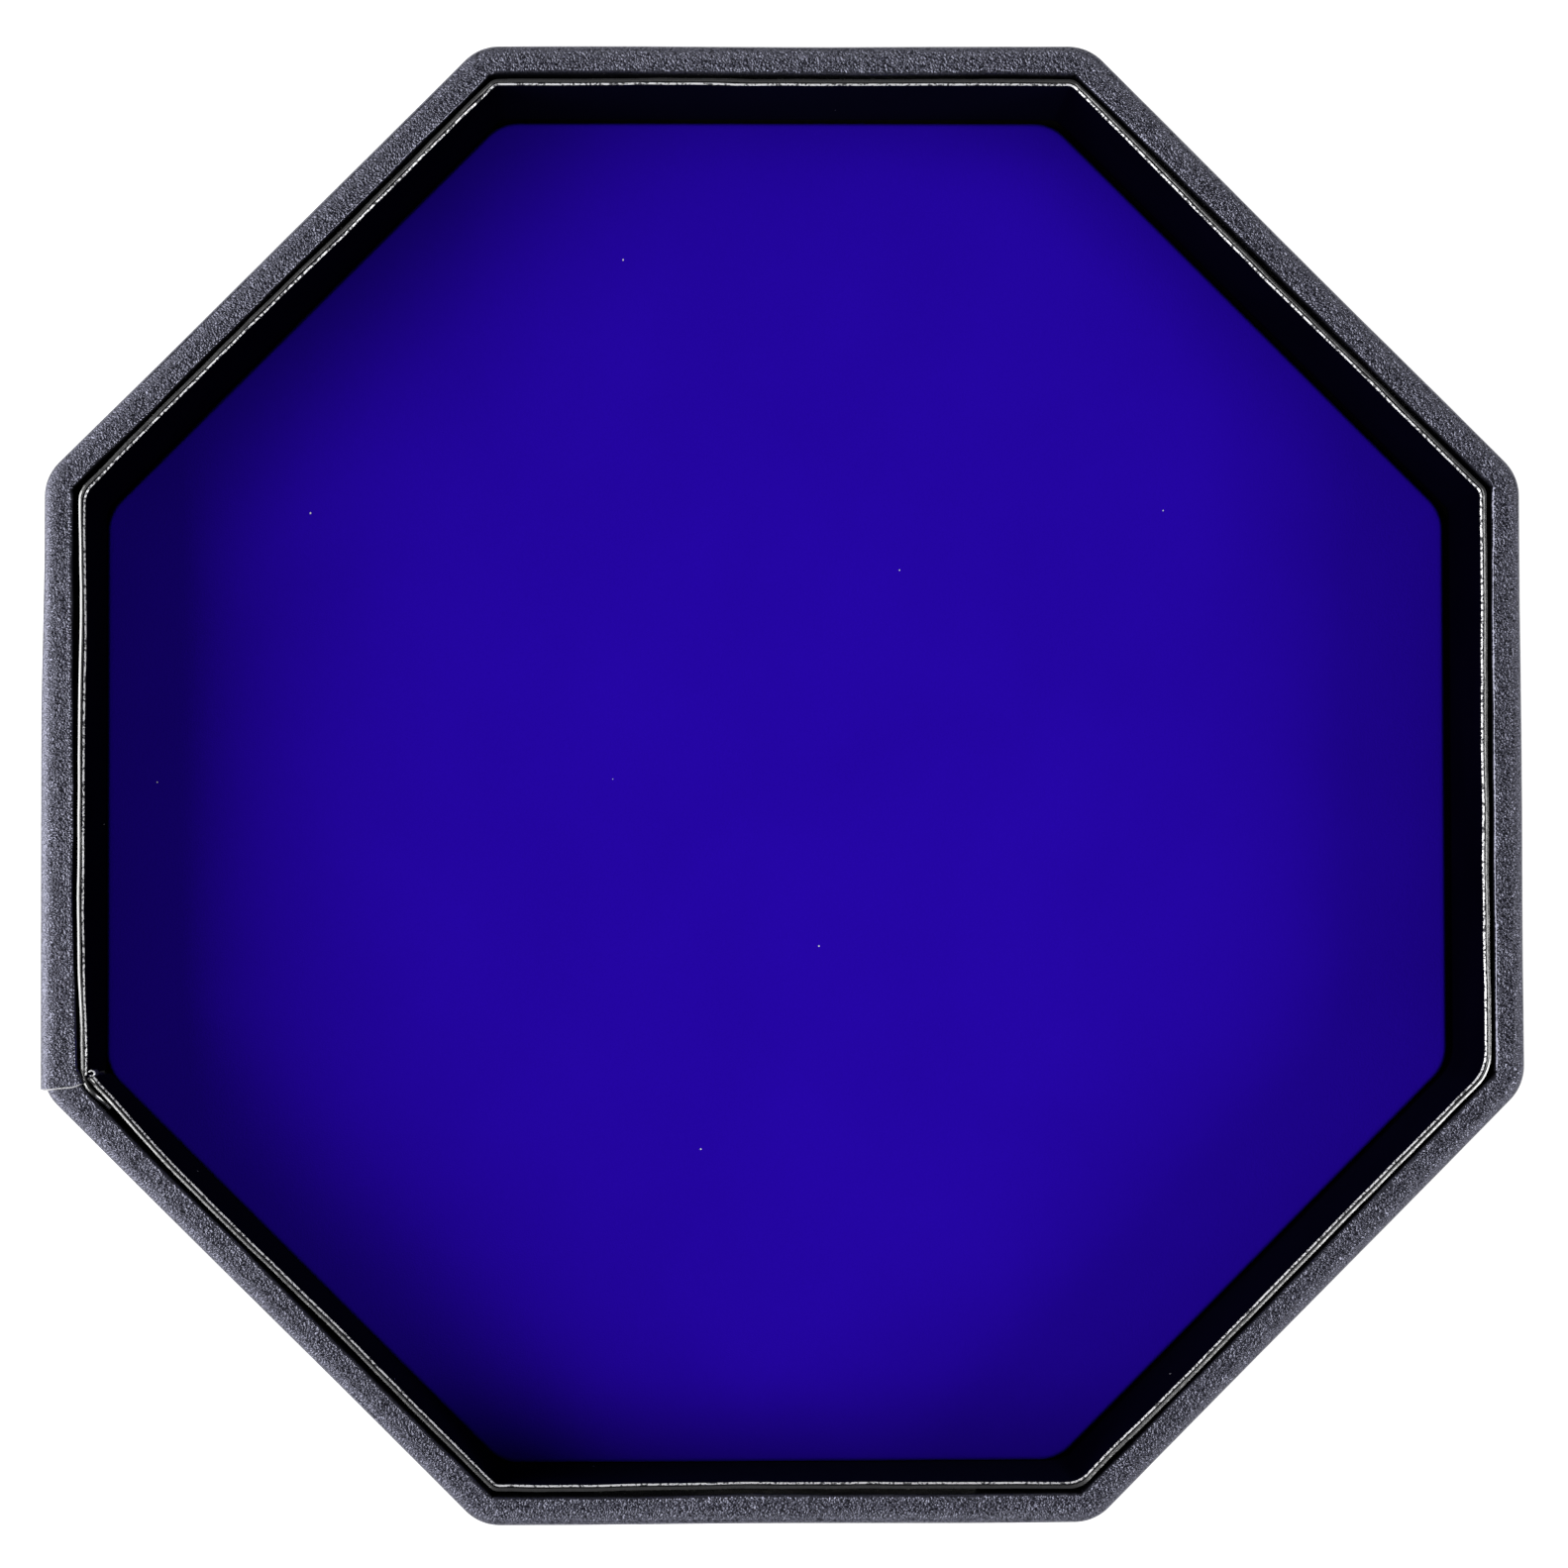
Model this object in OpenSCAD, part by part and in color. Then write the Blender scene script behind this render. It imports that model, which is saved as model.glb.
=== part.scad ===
// Octagonal dice tray.
// Eight mitred wall boards stand on a base board. Leatherette is wrapped round the walls, from
// inside the rim to under the base. A velvet-faced liner stands inside the walls behind a narrow
// groove, and a padded velvet panel lies on the floor.
// The tray rests on the XY plane, its centre is on the Z axis, and side 1 faces +X.

/* [Tray] */
// Outside width between two opposite sides
across_flats = 305; // [240:1:360]
// Overall height
tray_h = 46; // [40:1:70]
// Radius of the wrapped outer corners
corner_r = 10; // [6:0.5:16]

/* [Boards] */
// Thickness of the eight wall boards
wall_t = 4.6; // [3:0.1:8]
// Thickness of the base board
base_t = 3; // [2:0.5:6]

/* [Leatherette wrap] */
// Thickness of the leatherette
wrap_t = 0.7; // [0.5:0.1:1.2]
// How far the wrap runs down inside the walls
wrap_down = 15; // [8:1:20]
// How far the wrap turns in under the base
wrap_under = 12; // [8:1:20]
// Length of the wrap's outer end that lies straight at the seam corner
seam_end_l = 14; // [10:1:30]

/* [Liner] */
// Open groove between the wrapped wall and the liner
groove = 1; // [0.5:0.1:2]
// Thickness of the liner's board
liner_board_t = 0.65; // [0.4:0.05:1.5]
// Thickness of the liner's velvet
liner_velvet_t = 0.65; // [0.4:0.05:1.2]
// How far the liner's top edge lies below the rim
liner_drop = 0.6; // [0:0.1:3]
// Gap between the two ends of the liner, at the seam corner
liner_slit = 0.4; // [0.2:0.1:1]

/* [Liner tape] */
// Length of each strip of foam tape behind the liner
tape_l = 80; // [40:1:90]
// Width of the foam tape
tape_w = 12; // [6:1:14]
// Height of the tape's lower edge above the base board
tape_up = 9; // [4:1:9]

/* [Floor pad] */
// Gap between the pad and the liner all round
pad_gap = 0.8; // [0.4:0.1:2]
// How much of that gap the loose pad has slid off centre
pad_slide = 0.95; // [0:0.05:1]
// Direction in which it has slid, from +X towards +Y
pad_slide_angle = 215; // [0:5:355]
// Radius of the pad's corners
pad_corner_r = 9; // [4:0.5:14]
// Thickness of the pad's card
pad_card_t = 1; // [0.8:0.1:3]
// Thickness of the pad's foam
pad_foam_t = 1.3; // [1:0.1:4]
// Thickness of the pad's velvet
pad_velvet_t = 0.6; // [0.4:0.1:1.2]
// How far the velvet turns in under the card
pad_velvet_under = 12; // [8:1:25]

/* [Bottom cover] */
// Thickness of the felt under the base
cover_t = 0.8; // [0.6:0.1:1.5]
// Distance of the felt's edge from the outside of the tray
cover_inset = 4; // [2:0.5:6]
// Width of the step where the felt rises from the wrap's hem to the base board
cover_step_w = 1.2; // [0.8:0.1:2]
// Gap between that step and the wrap's hem
cover_step_gap = 0.3; // [0.1:0.1:1]

/* [Hidden] */
WALLS = [1:8];
WALL_ANGLE = 360 / 8;
SEAM_ANGLE = 4.5 * WALL_ANGLE;  // the corner between the -X wall and its neighbour towards -Y
ARC_STEPS = 8;                  // straight steps in one rounded corner
CUT = 1;                        // how far a cutting solid runs past what it cuts

// Distances from the centre to each layer's faces
half = across_flats / 2;
board_half = half - wrap_t;
wall_in = board_half - wall_t;
wrap_in = wall_in - wrap_t;
liner_out = wrap_in - groove;
velvet_out = liner_out - liner_board_t;
liner_in = velvet_out - liner_velvet_t;
pad_half = liner_in - pad_gap;
card_half = pad_half - pad_velvet_t;
turn_in_half = board_half - wrap_under;
cover_half = half - cover_inset;
step_half = turn_in_half - cover_step_gap;

// Heights, from the ground up
turn_in_z = cover_t;
base_z = turn_in_z + wrap_t;
base_top = base_z + base_t;
card_z = base_top + pad_velvet_t;
foam_z = card_z + pad_card_t;
pad_velvet_z = foam_z + pad_foam_t;
floor_z = pad_velvet_z + pad_velvet_t;
wall_top = tray_h - wrap_t;
liner_top = tray_h - liner_drop;

corner_y = half * tan(WALL_ANGLE / 2);  // half the length of one side

WALL_NODES = [for (i = WALLS) str("wall_board_", i)];
TAPE_NODES = [for (i = WALLS) str("liner_tape_", i)];

// Outline of an octagon whose sides lie at distance d, with corners rounded to radius r
function octagon(d, r) = [
    for (i = WALLS, j = [0 : (r > 0 ? ARC_STEPS : 0)])
    let (
        mid = (i - 0.5) * WALL_ANGLE,
        turn = r > 0 ? (j / ARC_STEPS - 0.5) * WALL_ANGLE : 0,
        reach = (d - r) / cos(WALL_ANGLE / 2)
    )
    [reach * cos(mid) + r * cos(mid + turn), reach * sin(mid) + r * sin(mid + turn)]
];

// An octagonal plate from height low to height high
module plate(d, r, low, high) {
    translate([0, 0, low]) linear_extrude(high - low) polygon(octagon(d, r));
}

// An octagonal wall between distances inner and outer
module ring(outer, outer_r, inner, inner_r, low, high) {
    difference() {
        plate(outer, outer_r, low, high);
        plate(inner, inner_r, low - CUT, high + CUT);
    }
}

// A block that starts at the middle of side i and reaches outwards from distance d
module on_side(i, d, thick, wide, low, high) {
    rotate((i - 1) * WALL_ANGLE)
        translate([d, -wide / 2, low]) cube([thick, wide, high - low]);
}

module base_board() {
    color([0.07, 0.07, 0.06]) plate(board_half, corner_r - wrap_t, base_z, base_top);
}

// One wall board, mitred at both ends
module wall_board(i) {
    far = 2 * half;
    color([0.1, 0.1, 0.09]) intersection() {
        ring(board_half, corner_r - wrap_t, wall_in, 0, base_top, wall_top);
        rotate((i - 1) * WALL_ANGLE)
            linear_extrude(tray_h)
            polygon([[0, 0], [far, -far * tan(WALL_ANGLE / 2)], [far, far * tan(WALL_ANGLE / 2)]]);
    }
}

// The leatherette: down inside the rim, over it, down the outside and in under the base
module outer_wrap() {
    color([0.12, 0.12, 0.15]) {
        difference() {
            plate(half, corner_r, turn_in_z, tray_h);
            plate(board_half, corner_r - wrap_t, base_z, wall_top);
            plate(wrap_in, 0, wall_top - CUT, tray_h + CUT);
            plate(turn_in_half, 0, turn_in_z - CUT, base_z + CUT);
        }
        ring(wall_in, 0, wrap_in, 0, tray_h - wrap_down, wall_top);
        seam_end();
    }
}

// The wrap's outer end: it lies straight past the rounded corner and is cut off square
module seam_end() {
    intersection() {
        difference() {
            plate(half, 0, turn_in_z, tray_h);
            plate(board_half, 0, turn_in_z - CUT, wall_top);
            plate(wrap_in, 0, turn_in_z, tray_h + CUT);
        }
        translate([-half, -corner_y, 0]) cube([half - wrap_in, seam_end_l, tray_h]);
    }
}

// Felt glued under the base. Its border lies on the wrap's turned-in edge and is what the tray
// rests on, and its middle steps up onto the base board.
module bottom_cover() {
    color([0.1, 0.1, 0.1]) {
        ring(cover_half, corner_r - cover_inset, step_half - cover_step_w, 0, 0, cover_t);
        plate(step_half, 0, base_z - cover_t, base_z);
        ring(step_half, 0, step_half - cover_step_w, 0, 0, base_z);
    }
}

// A strip bent round all eight corners, with its two ends at the seam corner
module liner_strip(outer, inner) {
    difference() {
        ring(outer, 0, inner, 0, base_top, liner_top);
        rotate(SEAM_ANGLE)
            translate([inner - CUT, -liner_slit / 2, base_top - CUT])
            cube([half - inner, liner_slit, tray_h]);
    }
}

module liner_board() {
    color([0.25, 0.25, 0.26]) liner_strip(liner_out, velvet_out);
}

module liner_velvet() {
    color([0.02, 0.02, 0.06]) liner_strip(velvet_out, liner_in);
}

// Foam tape that bonds the liner to one wall board, below the wrap's inner edge
module liner_tape(i) {
    tape_z = base_top + tape_up;
    color("ivory") on_side(i, liner_out, wall_in - liner_out, tape_l, tape_z, tape_z + tape_w);
}

// Puts a layer of the floor pad where the pad lies
module slid() {
    translate(pad_slide * pad_gap * [cos(pad_slide_angle), sin(pad_slide_angle), 0]) children();
}

module floor_card() {
    color([0.3, 0.3, 0.31])
        slid() plate(card_half, pad_corner_r - pad_velvet_t, card_z, foam_z);
}

module floor_foam() {
    color([0.9, 0.9, 0.86])
        slid() plate(card_half, pad_corner_r - pad_velvet_t, foam_z, pad_velvet_z);
}

// Velvet over the foam, down the pad's edge and in under the card
module floor_velvet() {
    color([0.1, 0.03, 0.6]) slid() difference() {
        plate(pad_half, pad_corner_r, base_top, floor_z);
        plate(card_half, pad_corner_r - pad_velvet_t, card_z, pad_velvet_z);
        plate(card_half - pad_velvet_under, 0, base_top - CUT, card_z + CUT);
    }
}

base_board();
outer_wrap();
bottom_cover();
liner_board();
liner_velvet();
floor_card();
floor_foam();
floor_velvet();
for (i = WALLS) wall_board(i);
for (i = WALLS) liner_tape(i);
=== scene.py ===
import math

import bmesh
import bpy
from mathutils import Matrix, Vector, noise


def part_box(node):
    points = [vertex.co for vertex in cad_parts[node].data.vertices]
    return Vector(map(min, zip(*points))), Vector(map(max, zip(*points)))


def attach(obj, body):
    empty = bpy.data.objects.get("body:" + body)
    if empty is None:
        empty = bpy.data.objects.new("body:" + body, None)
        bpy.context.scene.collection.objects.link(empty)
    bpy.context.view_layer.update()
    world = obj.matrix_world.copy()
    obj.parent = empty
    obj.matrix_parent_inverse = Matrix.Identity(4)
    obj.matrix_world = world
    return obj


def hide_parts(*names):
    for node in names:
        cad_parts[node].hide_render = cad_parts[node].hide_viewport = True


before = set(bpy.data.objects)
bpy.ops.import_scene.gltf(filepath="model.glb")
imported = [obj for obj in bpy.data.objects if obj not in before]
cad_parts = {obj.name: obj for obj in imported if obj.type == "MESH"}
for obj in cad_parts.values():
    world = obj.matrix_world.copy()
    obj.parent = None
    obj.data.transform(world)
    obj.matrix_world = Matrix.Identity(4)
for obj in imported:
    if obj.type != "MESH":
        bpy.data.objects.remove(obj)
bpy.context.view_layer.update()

# ---------------------------------------------------------------- measures, in metres

MM = 0.001
SIDES = 8
TURN = math.tau / SIDES     # angle from one side of the octagon to the next
TAN = math.tan(TURN / 2)    # half the length of a side that lies 1 from the centre
SEAM_SIDE = 4               # side 0 faces +X; the strips' ends meet after this side


def reach(node):
    """How far a node's sides lie from the middle of the tray."""
    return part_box(node)[1][0]


def bottom(node):
    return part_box(node)[0][2]


def top(node):
    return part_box(node)[1][2]


HALF = reach("outer_wrap")
RIM_Z = top("outer_wrap")
WRAP_T = HALF - reach("base_board")
WRAP_IN = reach("liner_tape_1") - WRAP_T
LINER_OUT = reach("liner_board")
VELVET_OUT = reach("liner_velvet")
VELVET_T = LINER_OUT - VELVET_OUT
LINER_Z = top("liner_board")
BASE_TOP = top("base_board")
CORNER = HALF * TAN         # half the length of one side of the tray

WRAP_DOWN = 15 * MM         # the wrap's hem inside the rim, below its top
WRAP_UNDER = 12 * MM        # the wrap's hem under the base, in from the board's edge
WRAP_LAP = 10 * MM          # the wrap's inner end, back from the seam corner
WRAP_CORNER_R = 10 * MM
FOLD_CORNER_R = 1.2 * MM    # corners of the rim's inner edge
PAD_CORNER_R = 9 * MM
# Corners of the liner, after side 0, side 1 and so on: some are creased, some only bent
LINER_CORNERS = [r * MM for r in (2.5, 2.5, 2.5, 5, 1, 2.5, 6, 10)]


def smooth(x, start=0.0, end=1.0):
    """Rises smoothly from 0 at start to 1 at end; start may be the higher one."""
    x = min(max((x - start) / (end - start), 0), 1)
    return x * x * (3 - 2 * x)


def mix(a, b, share):
    return a + (b - a) * share


def steps(count):
    """Shares from 0 to 1 in this many steps."""
    return [i / count for i in range(count + 1)]


def wave(s, length, row=0.0):
    """A smooth, unrepeating wave between about -1 and 1, with bumps this length apart."""
    return 2 * noise.noise(Vector((s / length, 7.3 * row, 0.5)))


# ---------------------------------------------------------------- places round the tray
# A place is a function of d, the distance from the middle, and of radius, which gives the
# corner radius after a side. It returns the point of the octagon at that distance.


def across(side, d, along):
    """The point at distance d on a side, this far along it from its middle."""
    angle = side * TURN
    return Vector((
        d * math.cos(angle) - along * math.sin(angle),
        d * math.sin(angle) + along * math.cos(angle),
    ))


def side_place(side, share, low=None, high=None):
    """A place on a side's straight part. low and high, from d, replace its ends."""
    def place(d, radius):
        start = low(d) if low else -(d - radius(side - 1)) * TAN
        end = high(d) if high else (d - radius(side)) * TAN
        return across(side, d, mix(start, end, share))
    return place


def corner_place(side, share):
    """A place on the round corner after a side."""
    def place(d, radius):
        r = radius(side)
        angle = (side + share) * TURN
        return across(side, d - r, (d - r) * TAN) + r * Vector((math.cos(angle), math.sin(angle)))
    return place


def along_side(side, low=None, high=None, count=46):
    return [side_place(side, share, low, high) for share in steps(count)]


def round_corner(side, count=9):
    return [corner_place(side, (i + 1) / (count + 1)) for i in range(count)]


def full_turn(count, corner_count):
    """Places once round the tray, as a closed ring."""
    places = []
    for side in range(SIDES):
        places += along_side(side, count=count) + round_corner(side, corner_count)
    return places


def middle_sides(first, last):
    """Places on the sides from first to last, each with the corner after it."""
    places = []
    for side in range(first, last + 1):
        places += along_side(side) + round_corner(side)
    return places


def measured(places, d, radius):
    """Pairs each place with its distance from the first one."""
    pairs = []
    s = 0
    before = places[0](d, radius)
    for place in places:
        here = place(d, radius)
        s += (here - before).length
        before = here
        pairs.append((place, s))
    return pairs


# ---------------------------------------------------------------- mesh helpers


def mesh_piece(name, points, faces, looks, face_looks=None, sharp=40):
    """A mesh object with outward normals. face_looks gives each face's place in looks."""
    mesh = bpy.data.meshes.new(name)
    mesh.from_pydata([tuple(p) for p in points], [], faces)
    for look in looks:
        mesh.materials.append(look)
    if face_looks:
        mesh.polygons.foreach_set("material_index", face_looks)
    work = bmesh.new()
    work.from_mesh(mesh)
    bmesh.ops.recalc_face_normals(work, faces=work.faces)
    work.to_mesh(mesh)
    work.free()
    for face in mesh.polygons:
        face.use_smooth = True
    mesh.set_sharp_from_angle(angle=math.radians(sharp))
    piece = bpy.data.objects.new(name, mesh)
    bpy.context.scene.collection.objects.link(piece)
    return piece


def stands_for(piece, node):
    """Fixes a piece to the tray in place of a CAD node."""
    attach(piece, "root")
    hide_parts(node)


def set_field(piece, name, values):
    """Stores one number for each point of a piece, for its material to read."""
    field = piece.data.attributes.new(name, "FLOAT", "POINT")
    field.data.foreach_set("value", values)


def strip(name, route, loop_at, radius, looks, loop_looks, cap_look):
    """A closed strip carried along a route.

    loop_at(s, left) gives its section, s from its start and left before its end: depth in
    from the outside of the tray and height, round a loop whose second half comes back
    beside the first. loop_looks(k, left) gives the look of the face after each point.
    """
    whole = route[-1][1]
    points = []
    for place, s in route:
        loop = loop_at(s, whole - s)
        for depth, z in loop:
            x, y = place(HALF - depth, lambda corner: radius(corner, depth))
            points.append((x, y, z))
    n = len(loop)
    faces = []
    face_looks = []
    for row in range(len(route) - 1):
        for k in range(n):
            k2 = (k + 1) % n
            a = row * n
            faces.append((a + k, a + k2, a + n + k2, a + n + k))
            face_looks.append(loop_looks(k, whole - route[row][1]))
    for a in (0, (len(route) - 1) * n):
        for k in range(n // 2 - 1):
            faces.append((a + k, a + k + 1, a + n - 2 - k, a + n - 1 - k))
            face_looks.append(cap_look)
        if n % 2:               # an odd loop leaves a triangle at its turn
            faces.append((a + n // 2 - 1, a + n // 2, a + n // 2 + 1))
            face_looks.append(cap_look)
    return mesh_piece(name, points, faces, looks, face_looks)


def disc(name, skin, look, corner_r):
    """A skin of octagonal rings about one middle point. Each ring has a distance and a height."""
    places = full_turn(count=18, corner_count=6)
    n = len(places)
    rings = len(skin)
    widest = max(d for d, z in skin)
    points = [(0, 0, skin[0][1])]
    faces = []
    for d, z in skin:
        for place in places:
            x, y = place(d, lambda corner: corner_r * d / widest)
            points.append((x, y, z))
    for k in range(n):
        faces.append((0, 1 + k, 1 + (k + 1) % n))
    for i in range(rings - 1):
        for k in range(n):
            a = 1 + i * n
            k2 = (k + 1) % n
            faces.append((a + k, a + n + k, a + n + k2, a + k2))
    return mesh_piece(name, points, faces, [look], sharp=60)


# ---------------------------------------------------------------- materials


class Look:
    """One procedural material: a Principled shader and the nodes that feed it."""

    def __init__(self, name, **inputs):
        self.material = bpy.data.materials.new(name)
        self.material.use_nodes = True
        self.tree = self.material.node_tree
        self.shader = self.tree.nodes["Principled BSDF"]
        self.where = self.add("TexCoord").outputs["Object"]
        self.set(**inputs)

    def fill(self, node, inputs):
        for name, value in inputs.items():
            if isinstance(value, bpy.types.NodeSocket):
                self.tree.links.new(value, node.inputs[name])
            else:
                node.inputs[name].default_value = value

    def set(self, **inputs):
        """Sets the shader's inputs; an underscore in a name stands for a space."""
        self.fill(self.shader, {name.replace("_", " "): value for name, value in inputs.items()})

    def add(self, kind, inputs=None, **settings):
        node = self.tree.nodes.new("ShaderNode" + kind)
        for name, value in settings.items():
            setattr(node, name, value)
        self.fill(node, inputs or {})
        return node

    def noise(self, size, detail=2.0, where=None):
        """A cloudy pattern from 0 to 1 with features of this size in metres."""
        inputs = {"Vector": where or self.where, "Scale": 1 / size, "Detail": detail}
        return self.add("TexNoise", inputs).outputs["Fac"]

    def math(self, operation, a, b):
        node = self.add("Math", {0: a, 1: b}, operation=operation)
        return node.outputs[0]

    def weighed(self, a, b, share):
        """Two patterns laid over each other, the first with this share."""
        return self.math("ADD", self.math("MULTIPLY", a, share), self.math("MULTIPLY", b, 1 - share))

    def fit(self, value, low, high, to_low=0.0, to_high=1.0):
        """Carries a range of a value onto another range, and clamps it there."""
        inputs = {
            "Value": value,
            "From Min": low,
            "From Max": high,
            "To Min": to_low,
            "To Max": to_high,
        }
        return self.add("MapRange", inputs).outputs["Result"]

    def blend(self, share, a, b):
        """A colour between a and b."""
        node = self.add("Mix", data_type="RGBA")
        self.fill(node, {"Factor": share})
        for name, colour in ((6, a), (7, b)):
            if isinstance(colour, bpy.types.NodeSocket):
                self.tree.links.new(colour, node.inputs[name])
            else:
                node.inputs[name].default_value = (*colour, 1)
        return node.outputs[2]

    def warped(self, size, amount):
        """The place on the piece, pushed about by up to this amount in metres."""
        cloud = self.add("TexNoise", {"Vector": self.where, "Scale": 1 / size, "Detail": 1.0})
        centred = self.add("VectorMath", {0: cloud.outputs["Color"], 1: (0.5, 0.5, 0.5)},
                           operation="SUBTRACT")
        scaled = self.add("VectorMath", {0: centred.outputs[0], "Scale": 2 * amount},
                          operation="SCALE")
        moved = self.add("VectorMath", {0: self.where, 1: scaled.outputs[0]}, operation="ADD")
        return moved.outputs[0]

    def field(self, name):
        """The numbers that set_field stored on the piece."""
        return self.add("Attribute", attribute_name=name).outputs["Fac"]

    def bump(self, height, depth, strength=1.0):
        """A normal as if the surface were raised by height times depth, in metres."""
        inputs = {"Height": height, "Distance": depth, "Strength": strength}
        return self.add("Bump", inputs).outputs["Normal"]


def leatherette():
    """Black leatherette with a fine, winding grain, smoother where it is stretched.

    The wrap's fields say where that is: fold along the rim's inner edge, edge over its crown. Its
    colour carries painted light: paler on the grain's raised cells and darker in their hollows as
    painted highlight and shade, and darker in the fold as painted shade.
    """
    cell_size = 0.42 * MM
    swell_size = 3 * MM
    grain_depth = 0.44 * MM
    stretched_grain = 0.1   # share of the grain that is left where it is stretched most
    fold_shade_share = 0.3    # share of the paler tone that is left in the fold: painted shade along the rim's inner edge
    roughness = 0.19
    edge_roughness = 0.42
    look = Look("leatherette", IOR=1.65, Specular_IOR_Level=0.9, Specular_Tint=(0.78, 0.79, 1, 1))
    where = look.warped(2.5 * MM, 0.5 * MM)
    # Turned, so that the tray's faces don't lie along the noise's own grid
    turned = look.add("Mapping", {"Vector": where, "Rotation": (0.5, 0.4, 0.7)}).outputs[0]
    cells = look.fit(look.noise(cell_size, 0.0, turned), 0.3, 0.7, -0.5, 0.5)
    swell = look.math("SUBTRACT", look.noise(swell_size, 1.0), 0.5)
    fold = look.field("fold")
    edge = look.field("edge")
    calm = look.fit(look.math("MAXIMUM", fold, edge), 0.0, 1.0, 1.0, stretched_grain)
    grain = look.math("MULTIPLY", look.math("ADD", cells, swell), calm)
    # painted shade: the colour is darker in the fold along the rim's inner edge
    fold_shading_factor = look.fit(fold, 0.0, 1.0, 1.0, fold_shade_share)
    # painted highlight and shade: the colour is paler on the grain's raised cells and darker in their
    # hollows, and darker again in the fold
    painted_shading = look.math("MULTIPLY", look.fit(cells, -0.5, 0.5), fold_shading_factor)
    look.set(
        Base_Color=look.blend(painted_shading, (0.004, 0.004, 0.006), (0.055, 0.055, 0.077)),
        Roughness=look.fit(edge, 0.0, 1.0, roughness, edge_roughness),
        Normal=look.bump(grain, grain_depth),
    )
    return look.material


def backing():
    """The pale woven back of the leatherette, seen where it is cut."""
    look = Look("wrap_backing", Roughness=0.9)
    threads = look.fit(look.noise(0.35 * MM, 2.0), 0.3, 0.5)
    look.set(
        Base_Color=look.blend(threads, (0.02, 0.02, 0.024), (0.7, 0.7, 0.72)),
        Normal=look.bump(threads, 0.1 * MM),
    )
    return look.material


def liner_edge():
    """The cut edge of the liner's board: the shears left it smooth and shiny."""
    look = Look("liner_edge", Specular_IOR_Level=1.0, IOR=1.8)
    streaks = look.fit(look.noise(1.3 * MM, 2.0), 0.3, 0.7)
    look.set(
        Base_Color=look.blend(streaks, (0.006, 0.006, 0.007), (0.02, 0.02, 0.022)),
        Roughness=look.fit(streaks, 0.0, 1.0, 0.3, 0.22),
        Normal=look.bump(streaks, 0.02 * MM),
    )
    return look.material


def velvet_back():
    """The velvet's woven back along its cut edge: shiny threads with dark pile between them."""
    look = Look("velvet_back", Specular_IOR_Level=1.0, IOR=1.7)
    threads = look.fit(look.noise(0.55 * MM, 1.0), 0.38, 0.5)
    look.set(
        Base_Color=look.blend(threads, (0.004, 0.004, 0.008), (0.6, 0.6, 0.62)),
        Roughness=look.fit(threads, 0.0, 1.0, 0.9, 0.28),
        Normal=look.bump(threads, 0.15 * MM),
    )
    return look.material


def velvet(name, deep, bright, sheen_colour, sheen, lint_gap):
    """Short-pile velvet: brushed patches, a fine pile, a sheen and a few specks of lint."""
    look = Look(name, Roughness=0.95, Specular_IOR_Level=0.0, Sheen_Weight=sheen,
                Sheen_Roughness=0.35, Sheen_Tint=(*sheen_colour, 1))
    brushed = look.noise(38 * MM, 3.0, look.warped(60 * MM, 12 * MM))
    pile = look.noise(0.35 * MM, 2.0)
    shade = look.weighed(brushed, pile, 0.75)
    speck_r = 0.2 * MM
    place = {"Vector": look.warped(0.5 * MM, 0.15 * MM), "Scale": 1 / lint_gap}
    lint = look.add("TexVoronoi", place).outputs["Distance"]
    lint = look.math("LESS_THAN", lint, speck_r / lint_gap)
    pile_colour = look.blend(look.fit(shade, 0.3, 0.7), deep, bright)
    look.set(
        Base_Color=look.blend(lint, pile_colour, (0.5, 0.5, 0.5)),
        Normal=look.bump(pile, 0.12 * MM, 0.6),
    )
    return look.material


def felt():
    """Black felt with matted fibres."""
    look = Look("felt", Roughness=0.95, Sheen_Weight=0.25, Sheen_Roughness=0.5)
    fibres = look.noise(0.5 * MM, 4.0, look.warped(2 * MM, 1 * MM))
    clouds = look.noise(9 * MM, 3.0)
    shade = look.weighed(fibres, clouds, 0.6)
    look.set(
        Base_Color=look.blend(look.fit(shade, 0.3, 0.7), (0.006, 0.006, 0.007), (0.028, 0.028, 0.03)),
        Normal=look.bump(fibres, 0.25 * MM),
    )
    return look.material


def fibreboard():
    """Black-dyed fibreboard."""
    look = Look("fibreboard", Roughness=0.9, Specular_IOR_Level=0.05)
    fibres = look.noise(0.8 * MM, 4.0)
    clouds = look.noise(12 * MM, 2.0)
    shade = look.weighed(fibres, clouds, 0.6)
    look.set(
        Base_Color=look.blend(look.fit(shade, 0.3, 0.7), (0.001, 0.001, 0.001), (0.004, 0.004, 0.004)),
        Normal=look.bump(fibres, 0.08 * MM),
    )
    return look.material


def card():
    """Dark grey card, inside the floor pad and in the liner."""
    look = Look("card", Roughness=0.9)
    fibres = look.noise(0.7 * MM, 4.0)
    look.set(
        Base_Color=look.blend(look.fit(fibres, 0.3, 0.7), (0.04, 0.04, 0.042), (0.07, 0.07, 0.072)),
        Normal=look.bump(fibres, 0.04 * MM),
    )
    return look.material


def foam():
    """Cream foam with open pores."""
    look = Look("foam", Roughness=0.95)
    pore_size = 0.6 * MM
    pores = look.add("TexVoronoi", {"Vector": look.where, "Scale": 1 / pore_size}).outputs["Distance"]
    look.set(
        Base_Color=look.blend(look.fit(pores, 0.0, 0.6), (0.45, 0.44, 0.4), (0.8, 0.79, 0.73)),
        Normal=look.bump(pores, 0.15 * MM),
    )
    return look.material


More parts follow.
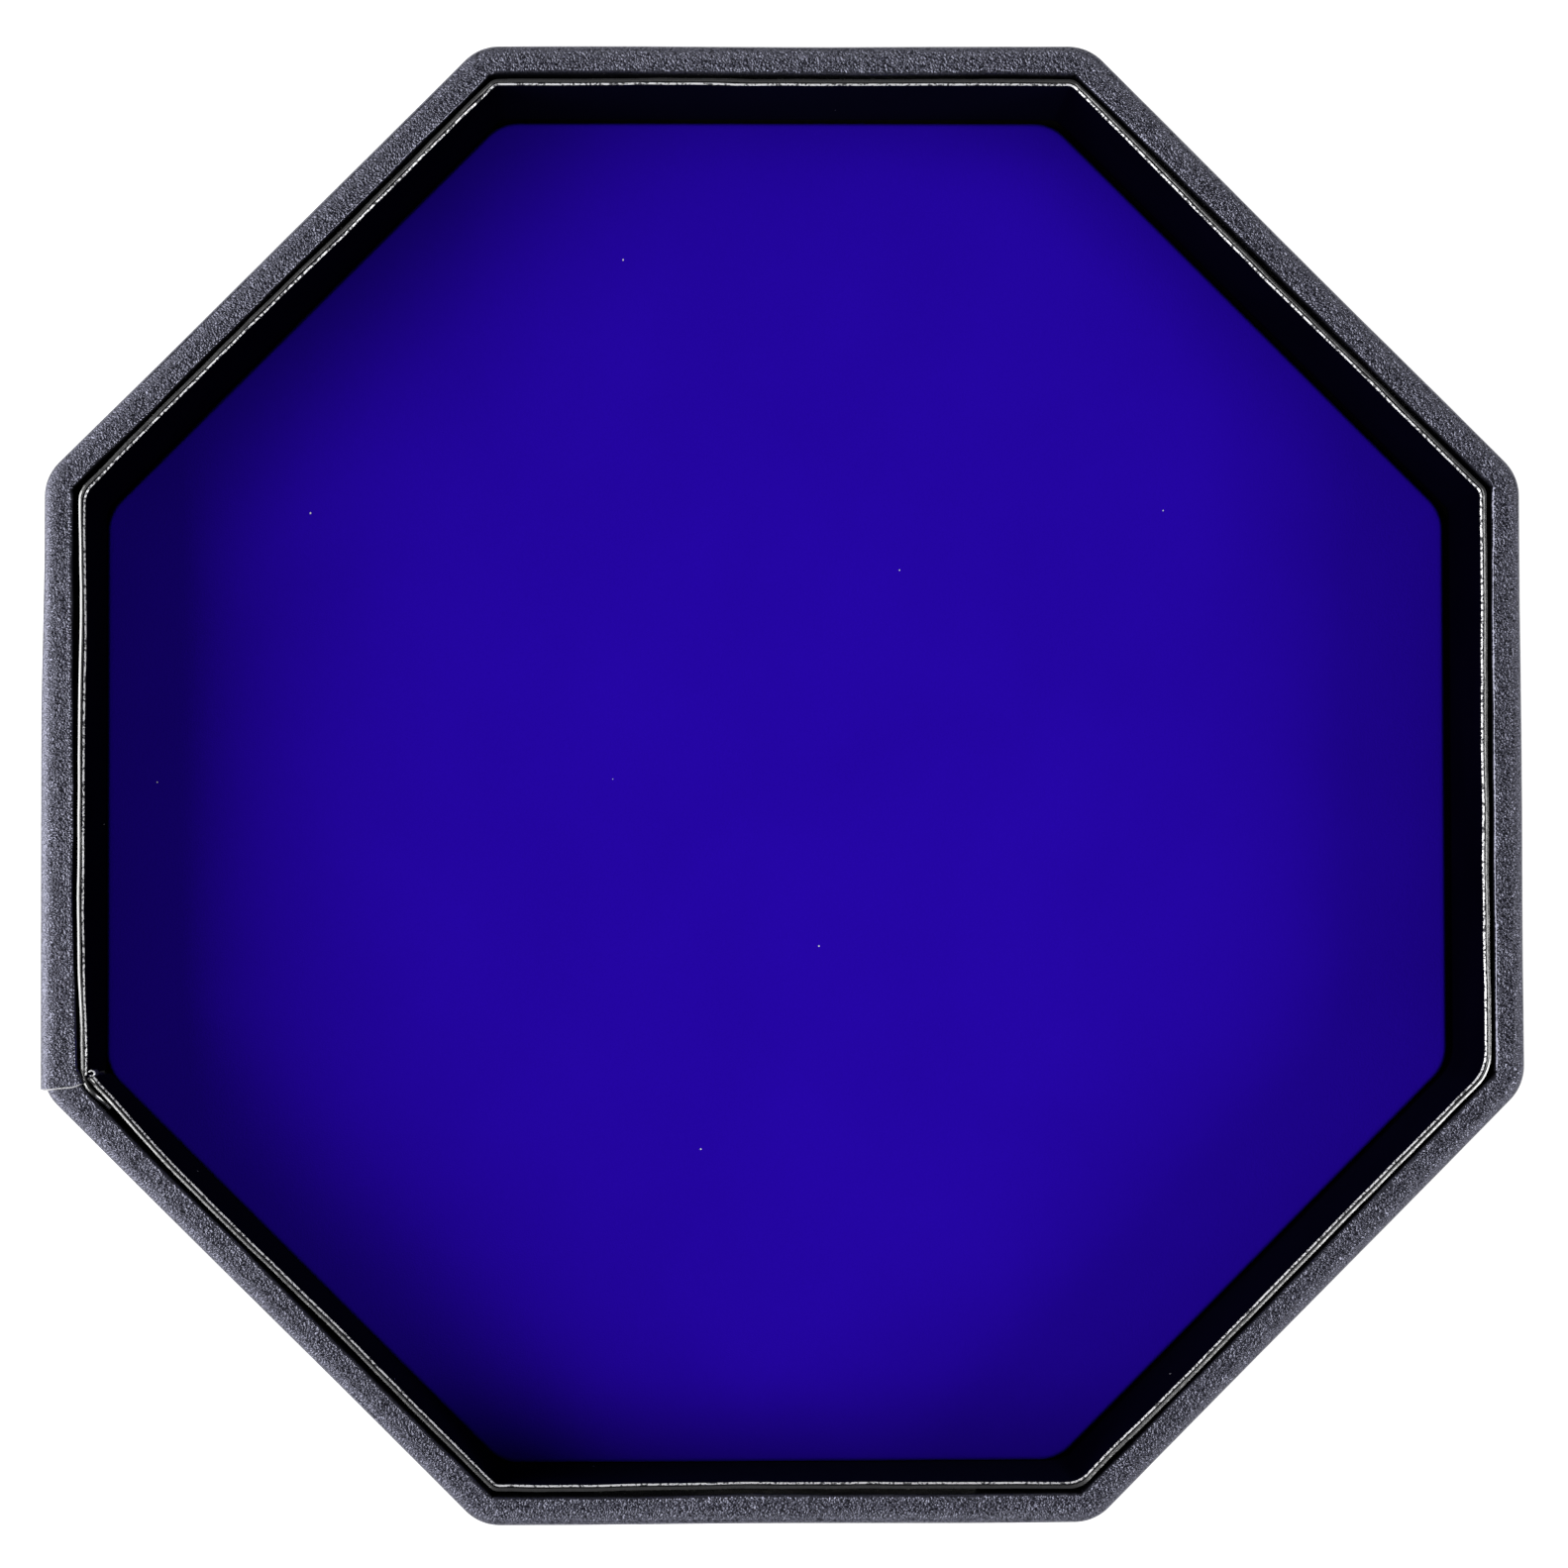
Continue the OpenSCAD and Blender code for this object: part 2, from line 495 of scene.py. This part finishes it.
def table_top():
    """The surface that the tray stands on: grey, and mostly self-lit, so that it shows white."""
    look = Look("table_top", Roughness=0.9, Specular_IOR_Level=0.1,
                Emission_Color=(1, 1, 1, 1), Emission_Strength=0.88)
    clouds = look.noise(0.5, 2.0)
    look.set(Base_Color=look.blend(clouds, (0.28, 0.28, 0.28), (0.32, 0.32, 0.32)))
    return look.material


# ---------------------------------------------------------------- the leatherette wrap

RIM_W = HALF - WRAP_IN
WRAP_THICK = 0.93 * WRAP_T  # the strip as modelled, a little thinner than the CAD's
SKIVE = 0.3 * MM            # length over which the outer end is cut thin
# The way round the outside from the middle of one corner to the middle of the next
CORNER_GAP = 2 * HALF * TAN - 2 * WRAP_CORNER_R * TAN + WRAP_CORNER_R * TURN


def arc(depth, z, r, start, end, count):
    """Points round a centre in the section; angles in degrees, 0 towards the tray's middle."""
    angles = [math.radians(mix(start, end, share)) for share in steps(count)]
    return [(depth + r * math.cos(a), z + r * math.sin(a)) for a in angles]


def line(start, end, count):
    """Points from start to end, without either."""
    shares = steps(count)[1:-1]
    return [(mix(start[0], end[0], share), mix(start[1], end[1], share)) for share in shares]


def wrap_path():
    """The wrap's outer face, from its hem inside the rim to its hem under the base."""
    low = bottom("outer_wrap")
    fold_r = 0.5 * MM       # the rim's inner edge
    under_r = 1.0 * MM      # the edge under the base
    crown_w = 3.4 * MM      # the rim's rounded outer part
    crown_h = 1.9 * MM
    squareness = 2 / 2.2    # 1 gives an ellipse
    hem = (RIM_W, RIM_Z - WRAP_DOWN)
    fold = arc(RIM_W - fold_r, RIM_Z - fold_r, fold_r, 0, 90, 5)
    crown = []
    for share in steps(10):
        angle = share * math.pi / 2
        across_crown = abs(math.sin(angle)) ** squareness
        up_crown = abs(math.cos(angle)) ** squareness
        crown.append((crown_w * (1 - across_crown), RIM_Z - crown_h * (1 - up_crown)))
    under = arc(under_r, low + under_r, under_r, 180, 270, 4)
    last = (WRAP_T + WRAP_UNDER, low)
    return (
        [hem] + line(hem, fold[0], 6) + fold + line(fold[-1], crown[0], 5) + crown
        + line(crown[-1], under[0], 12) + under + line(under[-1], last, 6) + [last]
    )


def path_normals(path):
    """Unit vectors that point out of the face of a path in the section."""
    normals = []
    for i in range(len(path)):
        a = Vector(path[max(i - 1, 0)])
        b = Vector(path[min(i + 1, len(path) - 1)])
        run = (b - a).normalized()
        normals.append((run.y, -run.x))
    return normals


def wrap_radius(corner, depth):
    """The wrap's corners are round outside and creased along the rim's inner edge."""
    return mix(WRAP_CORNER_R, FOLD_CORNER_R, smooth(depth, 0, RIM_W))


def seam_lift(left):
    """How far the outer end bows off the wall, and how far it stands up on the inner end."""
    most = 0.85 * WRAP_T
    bow = most * smooth(left, 113 * MM, 73 * MM)
    lap = most * smooth(left, 24 * MM, 11 * MM)
    return bow, lap


def fold_sway(s, left):
    """How far the wrap's fold lies in from straight."""
    # Beside the seam the fold drifts in, and at the very end it flares across the groove.
    drift = 0.9 * MM * smooth(left, 40 * MM, 0) + 1.3 * MM * smooth(left, 3.5 * MM, 0.3 * MM)
    drift += 0.8 * MM * smooth(s, WRAP_LAP + 9 * MM, WRAP_LAP + 2 * MM)
    from_corner = abs((s - WRAP_LAP + CORNER_GAP / 2) % CORNER_GAP - CORNER_GAP / 2)
    pucker = 0.3 * MM * wave(s, 1.6 * MM, 21) * smooth(from_corner, 7 * MM, 1 * MM)
    fold_wave = 0.16 * MM * wave(s, 22 * MM, 1) + 0.07 * MM * wave(s, 5 * MM, 2) + pucker
    return drift + fold_wave


def wrap_loop(path, normals, s, left):
    """The wrap's section: its outer face from hem to hem, and its back the other way."""
    bow, lap = seam_lift(left)
    sway = fold_sway(s, left)
    side_wave = 0.15 * MM * wave(s, 60 * MM, 3)
    skin = []
    for (depth, z), (n_depth, n_z) in zip(path, normals):
        near_rim = smooth(z, RIM_Z - 8 * MM, RIM_Z - 1 * MM)
        inward = smooth(depth, 0.45 * RIM_W, RIM_W) * near_rim
        shift = n_depth * (bow if n_depth < 0 else 0.3 * lap)
        lift = n_z * (lap if n_z > 0 else 0.2 * lap)
        lumps = 0.05 * MM * wave(s, 6 * MM, 4 + 300 * depth) * near_rim
        skin.append((depth + shift + sway * inward + side_wave * (1 - inward), z + lift + lumps))
    thin = mix(0.1, 1, smooth(left, 0, SKIVE))
    core = [(d - WRAP_THICK * n[0], z - WRAP_THICK * n[1]) for (d, z), n in zip(skin, normals)]
    skin = [(mix(c[0], d, thin), mix(c[1], z, thin)) for (d, z), c in zip(skin, core)]
    return skin + core[::-1]


def askew_cut(d):
    """Where the outer end stops along its side: it is cut a little askew."""
    depth = HALF - d
    askew = 0.5 * MM * smooth(depth, 0, RIM_W) + 0.6 * MM * smooth(depth, RIM_W, RIM_W + 2 * MM)
    return CORNER - askew


def wrap_route():
    """The wrap's places, from its inner end round to the cut that lies on it."""
    places = (
        along_side(SEAM_SIDE, low=lambda d: CORNER - WRAP_LAP, count=5)
        + round_corner(SEAM_SIDE)
        + middle_sides(SEAM_SIDE + 1, SEAM_SIDE + SIDES - 1)
        + along_side(SEAM_SIDE + SIDES, high=lambda d: askew_cut(d) - SKIVE, count=70)
        + [side_place(SEAM_SIDE, 1, high=lambda d: askew_cut(d) - 0.5 * SKIVE)]
        + [side_place(SEAM_SIDE, 1, high=askew_cut)]
    )
    return measured(places, HALF, lambda corner: wrap_radius(corner, 0))


def mark_stretch_and_fold_shade(wrap, path, rows):
    """Stores how far each point of the wrap lies in the fold and on the crown's edge, where the grain
    is smoother; in the fold the leatherette also gets a painted shade.
    """
    fold = [smooth(depth, 0.8 * RIM_W, 0.95 * RIM_W) for depth, z in path]
    edge = [
        0.85 * smooth(depth, 0.4 * RIM_W, 0.1 * RIM_W) * smooth(z, RIM_Z - 6 * MM, RIM_Z - 2 * MM)
        for depth, z in path
    ]
    set_field(wrap, "fold", (fold + fold[::-1]) * rows)
    set_field(wrap, "edge", (edge + edge[::-1]) * rows)


def build_wrap():
    path = wrap_path()
    normals = path_normals(path)
    route = wrap_route()
    hems = (len(path) - 1, 2 * len(path) - 1)

    def shows_back(k, left):
        return k in hems or k > len(path) or left < 1.1 * SKIVE

    wrap = strip(
        "wrap_leatherette", route, lambda s, left: wrap_loop(path, normals, s, left), wrap_radius,
        [leatherette(), backing()], lambda k, left: 1 if shows_back(k, left) else 0, cap_look=1,
    )
    mark_stretch_and_fold_shade(wrap, path, len(route))
    stands_for(wrap, "outer_wrap")


# ---------------------------------------------------------------- the liner

LINER_TAIL = 9 * MM         # the liner's last end runs on behind its first one
FINE_RUN = 9 * MM           # the strips are divided finely this far along their first side
EDGE_STEPS = 3              # faces on each slope of a cut edge


def liner_radius(corner, depth):
    """The liner's corners, the same at every depth."""
    return LINER_CORNERS[corner % SIDES]


def liner_sway(s, left):
    """How far the liner's top leans in from straight, and how far its edge rises."""
    in_tail = smooth(left, LINER_TAIL + 0.5 * MM, LINER_TAIL - 3 * MM)
    drift = 0.9 * MM * smooth(left, LINER_TAIL + 40 * MM, LINER_TAIL)
    start = 1.0 * MM * smooth(s, 24 * MM, 0) + 0.2 * MM * smooth(s, 3 * MM, 0)
    lean = 0.2 * MM * wave(s, 35 * MM, 11) + 0.07 * MM * wave(s, 7 * MM, 12)
    rise = 0.12 * MM * wave(s, 28 * MM, 13) + 0.05 * MM * wave(s, 4 * MM, 14)
    rise += 0.6 * MM * smooth(s, 2 * MM, 0) - 2.5 * MM * smooth(left, 4 * MM, 0)
    return start + mix(drift, -0.4 * MM, in_tail) + lean, rise


def cut_edge(inner, outer, z, ridge_at, tilt):
    """A strip's top edge: the shears left it with two slopes that meet in a ridge."""
    slope = math.tan(math.radians(tilt))
    ridge = mix(inner, outer, ridge_at)
    in_z = z - abs(inner - ridge) * slope
    out_z = z - abs(ridge - outer) * slope
    inside = [(mix(inner, ridge, share), mix(in_z, z, share)) for share in steps(EDGE_STEPS)]
    outside = [(mix(ridge, outer, share), mix(z, out_z, share)) for share in steps(EDGE_STEPS)]
    return inside + outside[1:]


def upright(depth, z, lean, rise):
    """Leans a point of the liner, more towards its top."""
    up = (z - BASE_TOP) / (LINER_Z - BASE_TOP)
    return depth + lean * up, z + rise * up


def first_side(gap, count):
    """Places on the liner's first side, from this far past its corner, and on the next corner."""
    end = VELVET_OUT * TAN
    start, fine = gap - end, FINE_RUN - end
    return (
        along_side(SEAM_SIDE + 1, low=lambda d: start, high=lambda d: fine, count=count)[:-1]
        + along_side(SEAM_SIDE + 1, low=lambda d: fine)
        + round_corner(SEAM_SIDE + 1)
    )


def build_liner_board():
    outer = HALF - LINER_OUT
    inner = HALF - VELVET_OUT
    up = [BASE_TOP, mix(BASE_TOP, LINER_Z, 0.5), LINER_Z - 2 * MM]
    edge = cut_edge(inner, outer, LINER_Z, ridge_at=0.4, tilt=21)
    section = [(inner, z) for z in up] + edge + [(outer, z) for z in up[::-1]]

    def loop_at(s, left):
        lean, rise = liner_sway(s, left)
        return [upright(depth, z, lean, rise) for depth, z in section]

    end = VELVET_OUT * TAN
    places = (
        first_side(gap=1.6 * MM, count=26)
        + middle_sides(SEAM_SIDE + 2, SEAM_SIDE + SIDES)
        + along_side(SEAM_SIDE + SIDES + 1, high=lambda d: -end + LINER_TAIL, count=6)
    )
    route = measured(places, LINER_OUT, lambda corner: liner_radius(corner, 0))
    board = strip(
        "liner_board_strip", route, loop_at, liner_radius, [card(), liner_edge()],
        lambda k, left: 1 if len(up) <= k < len(up) + len(edge) - 1 else 0, cap_look=0,
    )
    stands_for(board, "liner_board")


def build_liner_velvet():
    glue_gap = 0.15 * MM    # between the board and the velvet's back
    outer = HALF - VELVET_OUT + glue_gap
    inner = HALF - VELVET_OUT + VELVET_T
    edge_z = LINER_Z - 0.05 * MM
    up = [mix(BASE_TOP + 0.1 * MM, edge_z - 1 * MM, share) for share in steps(6)]
    edge = cut_edge(inner, outer, edge_z, ridge_at=0.7, tilt=29)
    section = [(inner, z) for z in up] + edge + [(outer, z) for z in up[::-1]]

    def loop_at(s, left):
        lean, rise = liner_sway(s, left + LINER_TAIL)
        return [upright(depth, z, lean, rise) for depth, z in section]

    places = (
        first_side(gap=1.8 * MM, count=20)
        + middle_sides(SEAM_SIDE + 2, SEAM_SIDE + SIDES - 1)
        + along_side(SEAM_SIDE + SIDES, high=lambda d: VELVET_OUT * TAN)
    )
    route = measured(places, VELVET_OUT, lambda corner: liner_radius(corner, 0))
    dark = velvet(
        "dark_velvet", deep=(0.0002, 0.0001, 0.001), bright=(0.0006, 0.0003, 0.0024),
        sheen_colour=(0.1, 0.1, 0.4), sheen=0.02, lint_gap=11 * MM,
    )
    cut_from = len(up)
    cut_to = cut_from + EDGE_STEPS      # beyond the ridge the pile hangs over the cut
    lining = strip(
        "liner_velvet_strip", route, loop_at, liner_radius, [dark, velvet_back()],
        lambda k, left: 1 if cut_from <= k < cut_to else 0, cap_look=0,
    )
    stands_for(lining, "liner_velvet")


def build_liner_curl():
    """The velvet's first end, rolled into a small curl where the liner starts."""
    curl_r = 0.5 * MM
    whole_turn = 300        # degrees from its first to its last row of points
    turn_step = 12
    wall = 0.3 * MM
    length = 6 * MM         # how far down the liner it goes
    top_z = LINER_Z + 0.3 * MM
    hub = across(SEAM_SIDE + 1, VELVET_OUT - 1.9 * MM, 1.5 * MM - VELVET_OUT * TAN)

    def curl_place(turn):
        angle = (SEAM_SIDE + 1) * TURN + math.radians(turn)
        out = Vector((math.cos(angle), math.sin(angle)))
        r = curl_r * mix(0.6, 1.1, turn / whole_turn)
        return lambda d, radius: hub + (r + HALF - d) * out

    edge = cut_edge(wall, 0, top_z, ridge_at=0.5, tilt=29)
    low = [(wall, top_z - length), (wall, top_z - 1 * MM)]
    section = low + edge + [(0, z) for depth, z in low[::-1]]
    places = [curl_place(turn) for turn in range(0, whole_turn, turn_step)]
    route = measured(places, HALF, lambda corner: 0)
    looks = [bpy.data.materials["dark_velvet"], bpy.data.materials["velvet_back"]]
    curl = strip("liner_curl", route, lambda s, left: section, liner_radius, looks,
                 lambda k, left: 1 if 1 <= k <= 1 + len(edge) else 0, cap_look=1)
    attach(curl, "root")


# ---------------------------------------------------------------- the floor pad

PUFF_FRAMES = 20            # length of the cloth simulation
PUFF_PRESSURE = 4


def puff(piece, free, cap):
    """Cloth simulation: the padding presses the free points of a skin out, by cap at most.
    """
    points = piece.data.vertices
    free = set(free)
    held = piece.vertex_groups.new(name="held")
    held.add([point.index for point in points if point.index not in free], 1, "REPLACE")
    rest = [point.co.copy() for point in points]
    cloth = piece.modifiers.new("cloth", "CLOTH")
    cloth.settings.quality = 6
    cloth.settings.mass = 0.002
    cloth.settings.tension_stiffness = 12
    cloth.settings.compression_stiffness = 12
    cloth.settings.vertex_group_mass = "held"
    cloth.settings.use_pressure = True
    cloth.settings.uniform_pressure_force = PUFF_PRESSURE
    cloth.settings.effector_weights.gravity = 0
    scene = bpy.context.scene
    for step in range(1, PUFF_FRAMES + 1):
        scene.frame_set(step)
    shaped = piece.evaluated_get(bpy.context.evaluated_depsgraph_get())
    moved = [point.co.copy() for point in shaped.data.vertices]
    piece.modifiers.remove(cloth)
    scene.frame_set(1)
    for point, before, after in zip(points, rest, moved):
        shift = after - before
        point.co = before + shift * cap / (cap + shift.length)


def build_floor():
    low, high = (Vector(corner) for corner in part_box("floor_velvet"))
    middle = (low + high) / 2
    half = (high.x - low.x) / 2
    edge_w = 1.5 * MM       # the rounded edge
    edge_h = 1.3 * MM
    edge_angles = [math.radians(mix(11, 90, share)) for share in steps(7)]
    hem_in = 12 * MM        # how far the velvet is turned in under the pad
    under_r = 0.4 * MM
    skin_t = 0.5 * MM
    skin = [((half - edge_w) * share, high.z) for share in steps(22)[1:]]
    skin += [
        (half - edge_w + edge_w * math.sin(a), high.z - edge_h * (1 - math.cos(a)))
        for a in edge_angles
    ]
    skin += [(half, low.z + under_r), (half - under_r, low.z)]
    skin += [(half - mix(1.5 * MM, hem_in, share), low.z) for share in steps(3)]
    blue = velvet(
        "blue_velvet", deep=(0.0138, 0.0013, 0.285), bright=(0.0154, 0.0016, 0.315),
        sheen_colour=(0.2, 0.12, 1.0), sheen=0.1, lint_gap=22 * MM,
    )
    pad = disc("floor_velvet_skin", skin, blue, PAD_CORNER_R)
    for point in pad.data.vertices:
        point.co += Vector((middle.x, middle.y, 0))
    crown = [point.index for point in pad.data.vertices if point.co.z > high.z - 0.1 * MM]
    puff(pad, crown, cap=0.5 * MM)
    shell = pad.modifiers.new("thickness", "SOLIDIFY")
    shell.thickness = skin_t
    shell.offset = -1
    stands_for(pad, "floor_velvet")


# ---------------------------------------------------------------- the felt under the base


def build_cover():
    """The felt lies against the base board, and steps down to pass under the wrap's hem."""
    edge = reach("bottom_cover")
    thick = 0.75 * MM
    raised = bottom("base_board")
    step_d = HALF - (WRAP_UNDER + WRAP_T + 0.3 * MM)    # beside the wrap's hem
    step_from = step_d - 2 * MM
    step_to = step_d + 0.5 * MM
    skin = [(step_d * share * 0.98, raised - thick) for share in steps(10)[1:]]
    skin += [
        (mix(step_from, step_to, share), mix(raised - thick, 0, smooth(share)))
        for share in steps(5)
    ]
    skin += [(mix(step_to, edge, share), 0) for share in steps(4)[1:]]
    cover = disc("bottom_felt", skin, felt(), PAD_CORNER_R)
    cover.data.flip_normals()
    shell = cover.modifiers.new("thickness", "SOLIDIFY")
    shell.thickness = thick
    shell.offset = 1
    stands_for(cover, "bottom_cover")


# ---------------------------------------------------------------- CAD nodes that stay as they are


def dress_nodes():
    """Gives the hidden boards, card, foam and tape their materials."""
    looks = {"base_board": fibreboard(), "floor_card": bpy.data.materials["card"], "floor_foam": foam()}
    for i in range(1, SIDES + 1):
        looks[f"wall_board_{i}"] = looks["base_board"]
        looks[f"liner_tape_{i}"] = looks["floor_foam"]
    for name, look in looks.items():
        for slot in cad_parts[name].material_slots:
            slot.material = look


# ---------------------------------------------------------------- stage, lights and camera


def build_stage():
    reach_out = 6.0         # metres from the middle to each edge of the table
    corners = [(x * reach_out, y * reach_out, 0) for x, y in ((-1, -1), (1, -1), (1, 1), (-1, 1))]
    floor = mesh_piece("table", corners, [(0, 1, 2, 3)], [table_top()])


def softbox(name, azimuth, elevation, distance, width, height, power):
    """An area light that faces the tray's middle. Azimuth runs from +X towards +Y."""
    light = bpy.data.lights.new(name, "AREA")
    light.shape = "RECTANGLE"
    light.size = width
    light.size_y = height
    light.energy = power
    lamp = bpy.data.objects.new(name, light)
    lamp.visible_camera = False
    a, e = math.radians(azimuth), math.radians(elevation)
    towards = Vector((math.cos(a) * math.cos(e), math.sin(a) * math.cos(e), math.sin(e)))
    lamp.location = towards * distance
    lamp.rotation_euler = towards.to_track_quat("Z", "Y").to_euler()
    bpy.context.scene.collection.objects.link(lamp)


def build_lights():
    """A wide softbox on the left, a small one on the right, and a dim room round them."""
    room_light = 0.11
    softbox("softbox_left", azimuth=186, elevation=32, distance=1.4, width=1.3, height=1.6, power=42)
    softbox("softbox_right", azimuth=-24, elevation=40, distance=1.4, width=0.6, height=0.6, power=10.5)
    world = bpy.data.worlds.new("studio")
    world.use_nodes = True
    room = world.node_tree.nodes["Background"]
    room.inputs["Color"].default_value = (1, 1, 1, 1)
    room.inputs["Strength"].default_value = room_light
    bpy.context.scene.world = world


def build_camera():
    """Almost straight above, a little to the lower left, aimed at the middle of the rim."""
    above_rim = 963 * MM
    place = Vector((-25 * MM, -32 * MM, RIM_Z + above_rim))
    aim = Vector((-0.4 * MM, -0.6 * MM, RIM_Z))
    roll = math.radians(0.16)
    data = bpy.data.cameras.new("camera")
    data.sensor_width = 36
    data.lens = 107.42
    camera = bpy.data.objects.new("camera", data)
    back = (place - aim).normalized()
    right = Vector((0, 1, 0)).cross(back).normalized()
    turn = Matrix((right, back.cross(right), back)).transposed().to_4x4()
    camera.matrix_world = Matrix.Translation(place) @ turn @ Matrix.Rotation(-roll, 4, "Z")
    bpy.context.scene.collection.objects.link(camera)
    bpy.context.scene.camera = camera


build_camera()
build_wrap()
build_liner_board()
build_liner_velvet()
build_liner_curl()
build_floor()
build_cover()
dress_nodes()
build_stage()
build_lights()
bpy.context.scene.view_settings.view_transform = "Standard"
